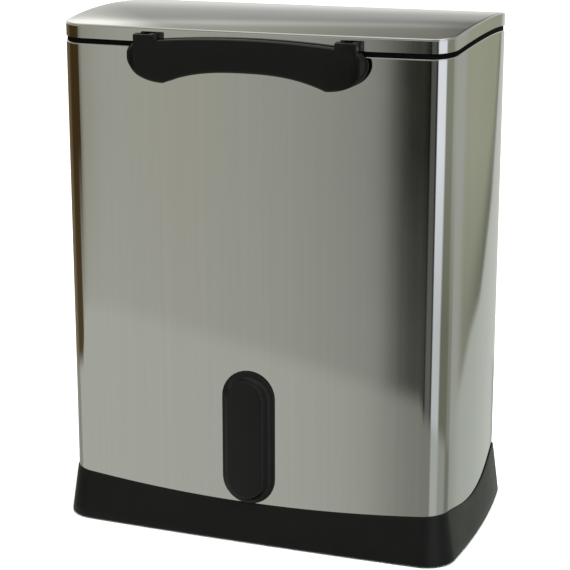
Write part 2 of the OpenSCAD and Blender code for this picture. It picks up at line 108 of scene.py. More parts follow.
def half_outline(out=0.0, back=0.0, rear_r=REAR_CORNER_R):
    """Right half of the casing's outline, from the middle of the back to the middle of the front.

    It runs out metres outside the casing, and back metres behind its back.
    """
    back_y = BACK_Y + back
    side_r = SIDE_R + out
    rear_y = back_y - rear_r
    inner_r = side_r - rear_r
    rear_c = Vector((SIDE_C.x + math.sqrt(inner_r ** 2 - (rear_y - SIDE_C.y) ** 2), rear_y))
    points = [Vector((x, back_y)) for x in spread(0, rear_c.x, 12)]
    rear_turn = angle_of(rear_c - SIDE_C)
    points += [rear_c + at(a) * rear_r for a in spread(math.pi / 2, rear_turn, 6)[1:]]
    bend = angle_of(CORNER_C - SIDE_C)
    points += [SIDE_C + at(a) * side_r for a in spread(rear_turn, bend, 40)[1:]]
    front_turn = angle_of(CORNER_C - FRONT_C)
    points += [CORNER_C + at(a) * (CORNER_R + out) for a in spread(bend, front_turn, 28)[1:]]
    points += [FRONT_C + at(a) * (FRONT_R + out) for a in spread(front_turn, -math.pi / 2, 48)[1:]]
    return points


def outline(out=0.0, back=0.0, rear_r=REAR_CORNER_R):
    """The whole outline, closed, clockwise seen from above: the right half and its mirror image."""
    half = half_outline(out, back, rear_r)
    return half + [Vector((-p.x, p.y)) for p in half[-2:0:-1]]


def crown_z(radius, y):
    """Height of the crown's arc of that radius."""
    return TOP - CROWN_R + math.sqrt(radius ** 2 - (y - CROWN_Y) ** 2)


# ---- mesh helpers ----
def piece(name, verts, faces, material, body, slot, uvs=None, sharp=30):
    """A new mesh object that rides on a body; uvs holds one pair per vertex."""
    mesh = bpy.data.meshes.new(name)
    mesh.from_pydata([tuple(v) for v in verts], [], faces)
    if uvs:
        layer = mesh.uv_layers.new(name="grain")
        for loop in mesh.loops:
            layer.data[loop.index].uv = uvs[loop.vertex_index]
    mesh.materials.append(material)
    made = bpy.data.objects.new(name, mesh)
    bpy.context.scene.collection.objects.link(made)
    outward(made)
    smooth(made, sharp)
    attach(made, body)
    return made


def outward(made):
    bm = bmesh.new()
    bm.from_mesh(made.data)
    bmesh.ops.recalc_face_normals(bm, faces=bm.faces)
    bm.to_mesh(made.data)
    bm.free()


def smooth(made, sharp=30):
    made.data.polygons.foreach_set("use_smooth", [True] * len(made.data.polygons))
    made.data.set_sharp_from_angle(angle=math.radians(sharp))


def loft(rings, start_cap=True, end_cap=True):
    """Vertices and faces of closed rings joined in order.

    Caps run straight across from each point to its mirror image.
    """
    count = len(rings[0])
    verts = [p for ring in rings for p in ring]
    faces = []
    for k in range(len(rings) - 1):
        a, b = k * count, (k + 1) * count
        faces += [(a + i, a + (i + 1) % count, b + (i + 1) % count, b + i) for i in range(count)]
    half = count // 2
    for wanted, base in ((start_cap, 0), (end_cap, (len(rings) - 1) * count)):
        if not wanted:
            continue
        faces.append((base, base + 1, base + count - 1))
        for i in range(1, half - 1):
            faces.append((base + i, base + i + 1, base + count - i - 1, base + count - i))
        faces.append((base + half - 1, base + half, base + half + 1))
    return verts, faces


def closed_loft(rings):
    """Vertices and faces of rings joined in order, and the last one to the first."""
    verts, faces = loft(rings, False, False)
    count = len(rings[0])
    last = (len(rings) - 1) * count
    faces += [(last + i, last + (i + 1) % count, (i + 1) % count, i) for i in range(count)]
    return verts, faces


def tube(loops):
    """Vertices and faces of a closed solid: loops joined in order, with a flat face at each end."""
    n = len(loops[0])
    last = (len(loops) - 1) * n
    faces = [tuple(range(n)), tuple(range(last + n - 1, last - 1, -1))]
    for k in range(0, last, n):
        faces += [(k + i, k + (i + 1) % n, k + n + (i + 1) % n, k + n + i) for i in range(n)]
    return [p for loop in loops for p in loop], faces


def rolled(radius, degrees):
    """How far in and how far down a rolled edge has come, from its top at 90 to its side at 0."""
    turn = math.radians(degrees)
    return radius * (1 - math.cos(turn)), radius * (1 - math.sin(turn))


def wall_uvs(rings, flat_from=None):
    """Grain coordinates: the way round the ring, and the height; x and y from ring flat_from on."""
    uvs = []
    for k, ring in enumerate(rings):
        run, last = 0.0, ring[0]
        for p in ring:
            run += math.hypot(p[0] - last[0], p[1] - last[1])
            last = p
            flat = flat_from is not None and k >= flat_from
            uvs.append((p[0], p[1]) if flat else (run, p[2]))
    return uvs


def level(points, z):
    """A ring at one height, or at a height worked out from each point."""
    return [(p.x, p.y, z(p) if callable(z) else z) for p in points]


def under_crown(out, radius, drop=0.0, rear_r=REAR_CORNER_R):
    """A ring out metres outside the casing, drop metres below the crown's arc of that radius."""
    return level(outline(out, out, rear_r), lambda p: crown_z(radius, p.y) - drop)


def apply(made, modifier):
    bpy.context.view_layer.objects.active = made
    for o in bpy.context.selected_objects:
        o.select_set(False)
    made.select_set(True)
    bpy.ops.object.modifier_apply(modifier=modifier.name)


def cut(made, verts, faces, mode="DIFFERENCE", sharp=30):
    """Takes a closed solid away from a piece, or joins it on."""
    mesh = bpy.data.meshes.new("tool")
    mesh.from_pydata([tuple(v) for v in verts], [], faces)
    tool = bpy.data.objects.new("tool", mesh)
    bpy.context.scene.collection.objects.link(tool)
    outward(tool)
    modifier = made.modifiers.new("cut", "BOOLEAN")
    modifier.object = tool
    modifier.operation = mode
    modifier.solver = "EXACT"
    apply(made, modifier)
    bpy.data.objects.remove(tool)
    smooth(made, sharp)


def bevelled(made, width, segments, sharp):
    """Breaks every edge that is sharper than sharp degrees."""
    modifier = made.modifiers.new("edges", "BEVEL")
    modifier.width = width
    modifier.segments = segments
    modifier.limit_method = "ANGLE"
    modifier.angle_limit = math.radians(sharp)
    apply(made, modifier)
    smooth(made, sharp)


def block(low, high):
    """Vertices and faces of a plain box, for cutting."""
    verts = [(x, y, z) for x in (low[0], high[0]) for y in (low[1], high[1]) for z in (low[2], high[2])]
    faces = [(0, 1, 3, 2), (4, 6, 7, 5), (0, 4, 5, 1), (2, 3, 7, 6), (0, 2, 6, 4), (1, 5, 7, 3)]
    return verts, faces


def pill(radius, straight, centre_z, steps=16):
    """Outline of an upright pill, as (x, z) points; straight is the distance between its arcs' centres."""
    points = []
    for end, start in ((1, 0.0), (-1, math.pi)):
        for a in spread(start, start + math.pi, steps):
            points.append((radius * math.cos(a), centre_z + end * straight / 2 + radius * math.sin(a)))
    return points


def smoothstep(a, b, x):
    """0 up to a, 1 from b on, and an even slope between them."""
    t = min(1.0, max(0.0, (x - a) / (b - a)))
    return t * t * (3 - 2 * t)


# ---- materials ----
class Nodes:
    """A node tree, and short ways to add to it."""

    def __init__(self, tree):
        self.tree = tree

    def add(self, kind, **settings):
        node = self.tree.nodes.new(kind)
        for key, value in settings.items():
            setattr(node, key, value)
        return node

    def link(self, a, b):
        self.tree.links.new(a, b)

    def coordinates(self, source, scale):
        place = self.add("ShaderNodeTexCoord")
        mapping = self.add("ShaderNodeMapping")
        mapping.inputs["Scale"].default_value = scale
        self.link(place.outputs[source], mapping.inputs["Vector"])
        return mapping.outputs["Vector"]

    def noise(self, vector, scale=1.0, detail=3.0, rough=0.55):
        node = self.add("ShaderNodeTexNoise")
        node.inputs["Scale"].default_value = scale
        node.inputs["Detail"].default_value = detail
        node.inputs["Roughness"].default_value = rough
        self.link(vector, node.inputs["Vector"])
        return node.outputs["Fac"]

    def span(self, value, low, high, source=(0.3, 0.7)):
        """A value moved from the range source to the range low to high."""
        node = self.add("ShaderNodeMapRange")
        node.inputs["From Min"].default_value = source[0]
        node.inputs["From Max"].default_value = source[1]
        node.inputs["To Min"].default_value = low
        node.inputs["To Max"].default_value = high
        self.link(value, node.inputs["Value"])
        return node.outputs["Result"]

    def math(self, operation, a, b):
        node = self.add("ShaderNodeMath", operation=operation)
        for socket, value in zip(node.inputs, (a, b)):
            if isinstance(value, (int, float)):
                socket.default_value = value
            else:
                self.link(value, socket)
        return node.outputs[0]

    def mix(self, factor, low, high, kind="MIX"):
        """A colour, or a number where high is one, from low at factor 0 to high at factor 1."""
        data_type, socket_type = "RGBA", "RGBA"
        if isinstance(high, (int, float)):
            data_type, socket_type = "FLOAT", "VALUE"
        node = self.add("ShaderNodeMix", data_type=data_type, blend_type=kind)
        self.link(factor, node.inputs[0])
        sockets = [i for i in node.inputs if i.name in ("A", "B") and i.type == socket_type]
        for socket, wanted in zip(sockets, (low, high)):
            if isinstance(wanted, tuple):
                socket.default_value = (*wanted, 1)
            elif isinstance(wanted, (int, float)):
                socket.default_value = wanted
            else:
                self.link(wanted, socket)
        return [o for o in node.outputs if o.type == socket_type][0]


class Shader(Nodes):
    """A node material with a Principled shader."""

    def __init__(self, name):
        self.material = bpy.data.materials.new(name)
        self.material.use_nodes = True
        super().__init__(self.material.node_tree)
        self.bsdf = self.tree.nodes["Principled BSDF"]

    def set(self, name, value):
        self.bsdf.inputs[name].default_value = value

    def colour(self, value, low, high):
        self.link(self.mix(value, low, high), self.bsdf.inputs["Base Color"])

    def roughness(self, value):
        self.link(value, self.bsdf.inputs["Roughness"])

    def bump(self, height, strength, distance):
        node = self.add("ShaderNodeBump")
        node.inputs["Strength"].default_value = strength
        node.inputs["Distance"].default_value = distance
        self.link(height, node.inputs["Height"])
        self.link(node.outputs["Normal"], self.bsdf.inputs["Normal"])


def tint(colour, k):
    return tuple(c * k for c in colour)


def brushed(name, colour, rough, source="UV", grain=(2400, 7, 1), streak=(170, 1.2, 1), anisotropic=0.9):
    """Satin sheet steel: fine upright grain, broader streaks, and faint smudges."""
    s = Shader(name)
    fine = s.noise(s.coordinates(source, grain), detail=4)
    broad = s.noise(s.coordinates(source, streak), detail=3)
    smudge = s.noise(s.coordinates("Object", (7, 7, 5)), detail=5, rough=0.6)
    both = s.math("ADD", s.math("MULTIPLY", fine, 0.5), s.math("MULTIPLY", broad, 0.5))
    s.colour(s.span(both, 0, 1), tint(colour, 0.96), tint(colour, 1.03))
    grained = s.span(both, rough * 0.85, rough * 1.15)
    s.roughness(s.math("ADD", grained, s.span(smudge, -0.008, 0.012)))
    s.bump(fine, 0.04, 0.00003)
    if source == "UV":
        tangent = s.add("ShaderNodeTangent", direction_type="UV_MAP", uv_map="grain")
        s.link(tangent.outputs[0], s.bsdf.inputs["Tangent"])
    s.set("Metallic", 1.0)
    s.set("Anisotropic", anisotropic)
    return s.material


def plastic(name, colour, rough, grain=900, depth=0.00006, strength=0.25, spec=0.5):
    """Moulded plastic: a fine spark-eroded grain, cloudy gloss and slightly worn edges."""
    s = Shader(name)
    skin = s.noise(s.coordinates("Object", (1, 1, 1)), scale=grain, detail=2)
    cloud = s.noise(s.coordinates("Object", (1, 1, 1)), scale=14, detail=5, rough=0.6)
    geometry = s.add("ShaderNodeNewGeometry")
    edge = s.span(geometry.outputs["Pointiness"], 0, 1, (0.515, 0.60))
    tone = s.math("ADD", s.span(cloud, 0.0, 0.5), s.math("MULTIPLY", edge, 0.45))
    s.colour(tone, tint(colour, 0.85), tint(colour, 1.7))
    s.roughness(s.math("ADD", s.span(cloud, rough - 0.04, rough + 0.05), s.span(skin, -0.02, 0.03)))
    s.bump(skin, strength, depth)
    s.set("Specular IOR Level", spec)
    return s.material


def metal(name, colour, rough, grain=260, bump=0.12, speckle=0.12):
    """Plated or cast metal: mottled plating and small scratches."""
    s = Shader(name)
    spots = s.noise(s.coordinates("Object", (1, 1, 1)), scale=grain, detail=4)
    cloud = s.noise(s.coordinates("Object", (1, 1, 1)), scale=30, detail=4)
    scratch = s.noise(s.coordinates("Object", (30, 900, 900)), detail=2)
    mixed = s.math("ADD", s.math("MULTIPLY", spots, 0.5), s.math("MULTIPLY", cloud, 0.5))
    s.colour(s.span(mixed, 0, 1), tint(colour, 1 - speckle), tint(colour, 1 + speckle))
    s.roughness(s.math("ADD", s.span(mixed, rough - 0.06, rough + 0.06), s.span(scratch, -0.03, 0.03)))
    s.bump(spots, bump, 0.00008)
    s.set("Metallic", 1.0)
    return s.material


def felt(name, colour):
    """Carbon felt: a fuzzy, matt surface."""
    s = Shader(name)
    fuzz = s.noise(s.coordinates("Object", (1, 1, 1)), scale=700, detail=6, rough=0.7)
    s.colour(fuzz, tint(colour, 0.6), tint(colour, 1.6))
    s.bump(fuzz, 0.8, 0.0006)
    s.set("Roughness", 0.95)
    s.set("Sheen Weight", 0.4)
    return s.material


STEEL = (0.45, 0.45, 0.435)
CASING_STEEL = brushed("casing_steel", STEEL, 0.048)
LID_STEEL = brushed("lid_steel", STEEL, 0.075)
PANEL_STEEL = brushed("panel_steel", (0.44, 0.44, 0.42), 0.26, "Object", (900, 900, 6), (60, 60, 1.2), 0.5)
COLLAR = plastic("collar_plastic", (0.0022, 0.0027, 0.0022), 0.38, grain=1100, spec=0.20)
SEAL = plastic("rim_plastic", (0.002, 0.002, 0.002), 0.75, grain=1300, spec=0.02)
GRIP = plastic("grip_plastic", (0.0012, 0.0014, 0.0011), 0.27, grain=1500, strength=0.10, spec=0.20)
PAD = plastic("pad_plastic", (0.0025, 0.0029, 0.0025), 0.38, grain=1500, strength=0.15, spec=0.24)
LINER = plastic("liner_plastic", (0.012, 0.012, 0.012), 0.5, grain=800)
GREY = plastic("grey_plastic", (0.20, 0.21, 0.215), 0.45, grain=800, strength=0.3)
NYLON = plastic("nylon", (0.66, 0.66, 0.62), 0.4, grain=900, strength=0.15)
RUBBER = plastic("foot_rubber", (0.014, 0.014, 0.014), 0.8, grain=500, strength=0.5, depth=0.0001)
PRESSED = metal("pressed_steel", (0.10, 0.10, 0.105), 0.42)
ZINC = metal("zinc_plate", (0.52, 0.53, 0.54), 0.3)
BRIGHT = metal("bright_steel", (0.60, 0.61, 0.62), 0.2, bump=0.05, speckle=0.06)
MAGNET = metal("magnet_plate", (0.18, 0.18, 0.19), 0.35)
CAST = metal("cast_aluminium", (0.58, 0.59, 0.60), 0.48, grain=420, bump=0.5)
FELT = felt("charcoal_felt", (0.05, 0.05, 0.05))

# Which CAD nodes wear which material; the nodes that a piece replaces wear the piece's
DRESS = {
    LINER: ["lid_liner", "ram_pad"],
    GREY: ["pad_guide", "waste_bucket"],
    RUBBER: ["rubber_feet"],
    PANEL_STEEL: ["bottom_pan", "back_panel", "bag_ring"],
    PRESSED: ["release_crank", "lifter_rod", "body_hinge_leaves", "lid_hinge_leaves",
              "handle_brackets", "lid_rails", "lid_brackets", "ram_rails", "ram_brackets"],
    MAGNET: ["magnet_catch", "strike_plate"],
    FELT: ["odor_filter"],
    CAST: ["ram_plate"],
    ZINC: ["upper_arms_rear", "upper_arms_front", "lower_arms_rear", "lower_arms_front",
           "casing_screws", "base_screws"],
    BRIGHT: ["hinge_pins", "handle_rods", "lid_pins", "front_cross_rod", "rear_cross_rod",
             "upper_center_pins", "lower_center_pins", "ram_pins", "crank_spring",
             "handle_springs", "ram_springs"],
    NYLON: ["upper_rollers", "lower_rollers"],
    CASING_STEEL: ["body_shell"],
    LID_STEEL: ["lid_shell"],
    COLLAR: ["base_plinth"],
    SEAL: ["rod_clips", "top_rim"],
    GRIP: ["handle_grip"],
    PAD: ["kick_pad"],
}
for material, names in DRESS.items():
    for name in names:
        slots = frame["nodes"][name].data.materials
        slots.clear()
        slots.append(material)


# ---- casing ----
PAD_LOW, PAD_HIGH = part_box("kick_pad")
PAD_R = PAD_HIGH.x
PAD_Z = (PAD_LOW.z + PAD_HIGH.z) / 2
PAD_STRAIGHT = PAD_HIGH.z - PAD_LOW.z - 2 * PAD_R
RIM_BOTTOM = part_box("top_rim")[0].z


def casing():
    """The wrapped steel sheet, its mouth rolled over, its back cut out for the panel."""
    roll = 1.3 * MM
    grow = 0.4 * MM
    panel_x, panel_low, panel_below_rim = 218 * MM, 35 * MM, 12 * MM
    rings = [level(outline(), SHELL_LOW.z), level(outline(), 300 * MM),
             under_crown(0, CASING_TOP_R, roll + 0.4 * MM)]
    for a in spread(0, 90, 8):
        inward, drop = rolled(roll, a)
        rings.append(under_crown(-inward, CASING_TOP_R, drop))
    rings += [under_crown(-roll, CASING_TOP_R, 6 * MM),
              under_crown(-SHEET, CASING_TOP_R, 7 * MM, REAR_CORNER_R - SHEET),
              level(outline(-SHEET, -SHEET, REAR_CORNER_R - SHEET), SHELL_LOW.z)]
    made = piece("casing", *closed_loft(rings), CASING_STEEL, "casing", "brushed_casing", wall_uvs(rings))
    pad_hole = pill(PAD_R + grow, PAD_STRAIGHT, PAD_Z)
    cut(made, *tube([[(x, y, z) for x, z in pad_hole] for y in (FRONT_Y - 10 * MM, FRONT_Y + 10 * MM)]))
    cut(made, *block((-panel_x, BACK_Y - 4 * MM, panel_low),
                     (panel_x, BACK_Y + 4 * MM, RIM_BOTTOM - panel_below_rim)))
    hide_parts("body_shell")
    return made


def rim():
    """The black rim in the mouth: a seal that stands up to the lid, and a ledge inside."""
    edge = 0.8 * MM
    outer, inner = -SHEET - 0.15 * MM, -12 * MM
    rings = [level(outline(outer, outer), RIM_BOTTOM), under_crown(outer, SEAL_TOP_R, edge + 0.3 * MM)]
    for a in spread(0, 90, 5):
        inward, drop = rolled(edge, a)
        rings.append(under_crown(outer - inward, SEAL_TOP_R, drop))
    for a in spread(90, 0, 5):
        inward, drop = rolled(edge, a)
        rings.append(under_crown(inner + inward, SEAL_TOP_R, drop))
    rings.append(level(outline(inner, inner), RIM_BOTTOM))
    made = piece("mouth_rim", *closed_loft(rings), SEAL, "casing", "black_plastic")
    catch_low, catch_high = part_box("magnet_catch")
    gap = Vector((0.2, 0.2, 0.2)) * MM
    pocket_top = Vector((catch_high.x, catch_high.y, TOP)) + Vector((gap.x, gap.y, 0))
    cut(made, *block(catch_low - gap, pocket_top))
    rod_low, rod_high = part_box("lifter_rod")
    reach = (rod_high.x - rod_low.x) / 2 + 0.3 * MM
    bore = [(rod_low + rod_high).xy / 2 + at(a) * reach for a in spread(0, 2 * math.pi, 24)[:-1]]
    cut(made, *tube([[(p.x, p.y, z) for p in bore] for z in (RIM_BOTTOM - 10 * MM, TOP)]))
    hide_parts("top_rim")
    return made


def collar():
    """The flared base collar; its top edge dips between the corners."""
    plinth_low, plinth_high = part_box("base_plinth")
    foot, foot_r, edge_out = plinth_high.x - HALF_W, 1.6 * MM, 1.3 * MM
    wall_z = plinth_low.z + foot_r
    dip_front, rise_side, rise_rear = 15 * MM, 36 * MM, 5 * MM
    front_arc = (HALF_W ** 2 + dip_front ** 2) / (2 * dip_front)
    side_arc = (BACK_Y ** 2 + rise_side ** 2) / (2 * rise_side)
    soften, lift = 12 * MM, 1 * MM
    flange, flange_low, flange_high, step = -14 * MM, 5 * MM, 9 * MM, 12 * MM
    snug = 0.25 * MM

    def edge_z(p):
        """Height of the top edge: the lower of two arcs, blended into each other."""
        across = COLLAR_MID + front_arc - math.sqrt(front_arc ** 2 - p.x ** 2)
        across += rise_rear * smoothstep(BACK_Y * 0.3, BACK_Y, p.y)
        along = COLLAR_MID + side_arc - math.sqrt(side_arc ** 2 - p.y ** 2)
        return (across + along - math.sqrt((across - along) ** 2 + soften ** 2)) / 2 + lift

    tops = [edge_z(p) for p in outline()]

    def ring(out, z):
        """A ring out metres outside the casing, at a height that may be worked out from the top edge's."""
        points = outline(out, min(3 * MM, out))
        return [(p.x, p.y, z(top) if callable(z) else z) for p, top in zip(points, tops)]

    inner = foot - 4 * MM
    rings = [ring(flange, flange_low), ring(inner, flange_low), ring(inner, plinth_low.z),
             ring(foot - foot_r, plinth_low.z)]
    for a in spread(90, 0, 5)[1:]:
        inward, rise = rolled(foot_r, a)
        rings.append(ring(foot - inward, plinth_low.z + rise))
    for t in (0.2, 0.4, 0.6, 0.8, 0.93, 0.975):
        rings.append(ring(foot + (edge_out - foot) * t, lambda top: wall_z + (top - wall_z) * t))
    for out, drop in ((edge_out - 0.1 * MM, 0.35 * MM), (edge_out - 0.35 * MM, 0.08 * MM),
                      (edge_out - 0.7 * MM, 0.0), (snug, 0.15 * MM)):
        rings.append(ring(out, lambda top: top - drop))
    rings += [ring(snug, step), ring(flange, flange_high)]
    made = piece("base_collar", *loft(rings), COLLAR, "casing", "collar_plastic", sharp=40)
    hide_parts("base_plinth")
    return made


# ---- lid ----
def lid():
    """The crowned steel lid with its upright lip."""
    bend, turns = 2.4 * MM, 9
    underside_r = CROWN_R - SHEET
    inner = [under_crown(-bend - 14 * MM, underside_r), under_crown(-bend, underside_r),
             under_crown(-SHEET, underside_r, 2 * MM, REAR_CORNER_R - SHEET),
             under_crown(-SHEET, LIP_R, 0, REAR_CORNER_R - SHEET)]
    rings = inner + [under_crown(0, LIP_R), under_crown(0, LIP_R, -0.4 * MM),
                     under_crown(0, CROWN_R, bend + 0.4 * MM)]
    for a in spread(0, 90, turns):
        inward, drop = rolled(bend, a)
        rings.append(under_crown(-inward, CROWN_R, drop))
    rings += [under_crown(-bend - inset, CROWN_R) for inset in (0.6 * MM, 4 * MM, 14 * MM)]
    crest = len(inner) + 3 + turns // 2 + 1
    made = piece("lid", *loft(rings), LID_STEEL, "lid", "brushed_casing", wall_uvs(rings, crest))
    slot_in, slot_out = 118.8 * MM, 127.2 * MM
    bracket_low, bracket_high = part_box("handle_brackets")
    for side in (-1, 1):
        x0, x1 = sorted((side * slot_in, side * slot_out))
        cut(made, *block((x0, FRONT_Y - 5 * MM, bracket_low.z - 4 * MM),
                         (x1, FRONT_Y + 4 * MM, bracket_high.z)))
    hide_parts("lid_shell")
    return made


# ---- handle ----
PIVOT_Y, PIVOT_Z = FRONT_Y - 7 * MM, TOP - 24 * MM
GRIP_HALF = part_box("handle_grip")[1].x - 2 * MM
GRIP_FRONT = FRONT_Y - 15 * MM
GRIP_BACK = GRIP_FRONT + 12 * MM
ARM_IN, ARM_OUT = 110 * MM, 134.5 * MM
SLOT_IN, SLOT_OUT = 115.5 * MM, 130.5 * MM
# The lower edge: peaks beside an arch for the fingers
PEAK_X, PEAK_Z = 99 * MM, PIVOT_Z - 48.5 * MM
ARCH_RISE, END_RISE = 15.7 * MM, 31 * MM
# The upper edge: a low hump, a step down behind the arms, and round ends
HUMP, ARM_STEP, END_DROP = 5 * MM, 4 * MM, 13.5 * MM
# From here on, the ends dome back towards the casing
DOME_X = ARM_OUT - 5 * MM


def grip_bottom(x):
    """Height of the grip's lower edge."""
    if x < PEAK_X:
        return PEAK_Z + ARCH_RISE * (1 - (x / PEAK_X) ** 2.6)
    t = (x - PEAK_X) / (GRIP_HALF - PEAK_X)
    return PEAK_Z + END_RISE * (1 - math.sqrt(max(0.0, 1 - t * t)))


def grip_top(x):
    """Height of the grip's upper edge."""
    if x < ARM_IN:
        return PIVOT_Z + HUMP * (1 - (x / ARM_IN) ** 2)
    t = min(1.0, max(0.0, (x - ARM_OUT) / (GRIP_HALF - ARM_OUT)))
    return PIVOT_Z - ARM_STEP * smoothstep(ARM_IN, ARM_OUT, x) - END_DROP * (1 - (1 - t * t) ** 0.62)


def grip_section(x):
    """Closed loop of the grip at x: rounded corners, and a hollow behind for the fingers."""
    far = abs(x)
    top, bottom = grip_top(far), grip_bottom(far)
    end = max(0.0, (far - DOME_X) / (GRIP_HALF - DOME_X))
    back = GRIP_BACK - 1.5 * MM * end ** 6
    front = back - (back - GRIP_FRONT) * max(0.15, math.sqrt(max(0.0, 1 - end ** 2.6)))
    height, depth = top - bottom, back - front
    round_front = min((3.4 + 3.6 * smoothstep(0, 1, end)) * MM, height * 0.45, depth * 0.6)
    round_back = min((1.2 + 1.2 * end) * MM, height * 0.45, depth * 0.3)
    hollow = 4.5 * MM * (1 - smoothstep(84 * MM, 97 * MM, far))
    loop = []

    def corner(y, z, r, start):
        for a in spread(start, start + 90, 7):
            bend = at(math.radians(a)) * r
            loop.append((x, y + bend.x, z + bend.y))

    corner(front + round_front, bottom + round_front, round_front, 180)
    corner(back - round_back, bottom + round_back, round_back, 270)
    for share, deep in ((0.26, 0), (0.30, 0.7), (0.38, 1), (0.62, 1), (0.70, 0.7), (0.74, 0)):
        loop.append((x, back - hollow * deep, bottom + share * height))
    corner(back - round_back, top - round_back, round_back, 0)
    corner(front + round_front, top - round_front, round_front, 90)
    return loop


def arm_outline():
    """Outline of an arm seen from the side, as (y, z) points: a barrel on the pivot, its front flush."""
    barrel_r, edge = 7.4 * MM, 2 * MM
    foot_z, neck_z, head_z = PIVOT_Z - 22 * MM, PIVOT_Z - 9 * MM, PIVOT_Z + 6.6 * MM
    front, back = GRIP_FRONT + 0.05 * MM, GRIP_BACK - 0.2 * MM
    points = [(front, foot_z)]
    for a in spread(0, 80, 6):
        inward, drop = rolled(edge, a)
        points.append((front + inward, head_z - drop))
    for a in spread(108, -38, 22):
        turn = at(math.radians(a)) * barrel_r
        points.append((PIVOT_Y + turn.x, PIVOT_Z + turn.y))
    return points + [(back, neck_z), (back, foot_z)]


def handle():
    """The moulded grip with its two forked arms."""
    end_x = GRIP_HALF - 0.25 * MM
    ends = [ARM_OUT + (end_x - ARM_OUT) * math.sin(math.radians(a)) for a in spread(0, 90, 14)[1:]]
    right = spread(0, PEAK_X, 40) + spread(PEAK_X, ARM_OUT, 16)[1:] + ends
    sections = [grip_section(x) for x in [-x for x in right[:0:-1]] + right]
    made = piece("handle_bar", *tube(sections), GRIP, "handle", "grip_plastic", sharp=45)
    for side in (-1, 1):
        arm_ends = sorted((side * ARM_IN, side * ARM_OUT))
        cut(made, *tube([[(x, y, z) for y, z in arm_outline()] for x in arm_ends]), "UNION")
        x0, x1 = sorted((side * SLOT_IN, side * SLOT_OUT))
        cut(made, *block((x0, PIVOT_Y - 5 * MM, PIVOT_Z - 9 * MM), (x1, PIVOT_Y + 20 * MM, TOP)))
    bevelled(made, 0.45 * MM, 2, 50)
    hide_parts("handle_grip")
    return made


# ---- toe pad ----
def toe_pad():
    """The raised pill-shaped pad: a flange, a concave slope and a crowned face."""
    face = PAD_LOW.y
    flange, flange_edge = FRONT_Y - 1.8 * MM, 1.2 * MM
    sag, crown = 1.6 * MM, 0.5 * MM
    shoulder, shoulder_in, shoulder_out = PAD_R - 9 * MM, 4.5 * MM, 2.9 * MM
    foot_y = face + 3.4 * MM
    profile = [(PAD_R, FRONT_Y + 1.4 * MM), (PAD_R, FRONT_Y - 1.6 * MM)]
    for a in spread(0, 80, 6):
        turn = at(math.radians(a)) * flange_edge
        profile.append((PAD_R - flange_edge + turn.x, flange - turn.y))
    start_r, start_y = profile[-1]
    for t in spread(0, 1, 9)[1:]:
        dip = sag * math.sin(math.pi * t)
        profile.append((start_r + (shoulder - start_r) * t - dip * 0.8,
                        start_y + (foot_y - start_y) * t + dip))
    for a in spread(10, 90, 8):
        turn = at(math.radians(a))
        profile.append((shoulder - shoulder_in * (1 - turn.x), foot_y - shoulder_out * turn.y))
    face_r = profile[-1][0]
    for t in spread(0, 1, 7)[1:]:
        profile.append((max(face_r * (1 - t), 0.4 * MM), face + crown * (1 - t) ** 2))
    rings = [[(x, y, z) for x, z in pill(r, PAD_STRAIGHT, PAD_Z, 24)] for r, y in profile]
    made = piece("toe_pad", *tube(rings), PAD, "toe_pad", "pad_plastic", sharp=50)
    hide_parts("kick_pad")
    return made


def pad_stem():
    """The stem behind the toe pad, with a collar and a grooved tip."""
    z = COLLAR_MID + 86 * MM
    root, tip = FRONT_Y, PAD_HIGH.y
    collar_r, stem_r, chamfer_r = 8 * MM, 5 * MM, 4 * MM
    groove_r, tip_r, point_r = 2 * MM, 1.4 * MM, 0.1 * MM
    profile = [(point_r, root + 1 * MM), (collar_r, root + 1 * MM), (collar_r, root + 3 * MM),
               (stem_r, root + 4 * MM), (stem_r, tip - 4 * MM), (chamfer_r, tip - 2.6 * MM),
               (groove_r, tip - 2.5 * MM), (groove_r, tip - 0.6 * MM), (tip_r, tip), (point_r, tip)]
    circle = [at(a) for a in spread(0, 2 * math.pi, 32)[:-1]]
    rings = [[(r * p.x, y, z + r * p.y) for p in circle] for r, y in profile]
    return piece("toe_pad_stem", *tube(rings), PAD, "toe_pad", "pad_plastic")


casing()
rim()
collar()
lid()
handle()
toe_pad()
pad_stem()


# ---- studio ----
CAMERA_TARGET = Vector((-0.005, 0.002, 0.287))
CAMERA_AZIMUTH, CAMERA_ELEVATION = math.radians(20.88), math.radians(14.65)
CAMERA_DISTANCE = 2.1775
CAMERA_LENS, CAMERA_SENSOR = 110.62, 36.0


def camera():
    back = Vector((math.sin(CAMERA_AZIMUTH) * math.cos(CAMERA_ELEVATION),
                   -math.cos(CAMERA_AZIMUTH) * math.cos(CAMERA_ELEVATION),
                   math.sin(CAMERA_ELEVATION)))
    data = bpy.data.cameras.new("camera")
    data.lens = CAMERA_LENS
    data.sensor_width = CAMERA_SENSOR
    made = bpy.data.objects.new("camera", data)
    made.location = CAMERA_TARGET + back * CAMERA_DISTANCE
    made.rotation_euler = back.to_track_quat("Z", "Y").to_euler()
    bpy.context.scene.collection.objects.link(made)
    bpy.context.scene.camera = made


def grey(v):
    return (v, v, v)


def floor():
    """A round pale floor; the steel mirrors the studio's pale sheet instead of it."""
    s = Shader("pale_floor")
    cloud = s.noise(s.coordinates("Object", (1, 1, 1)), scale=3, detail=3)
    s.colour(cloud, grey(0.86), grey(0.88))
    s.set("Roughness", 0.8)
    s.set("Specular IOR Level", 0.1)
    reach = 120
    rim_points = [at(a) * reach for a in spread(0, 2 * math.pi, 64)[:-1]]
    mesh = bpy.data.meshes.new("floor")
    mesh.from_pydata([(p.x, p.y, 0) for p in rim_points], [], [tuple(range(len(rim_points)))])
    mesh.materials.append(s.material)
    made = bpy.data.objects.new("floor", mesh)
    made.visible_glossy = False
    bpy.context.scene.collection.objects.link(made)


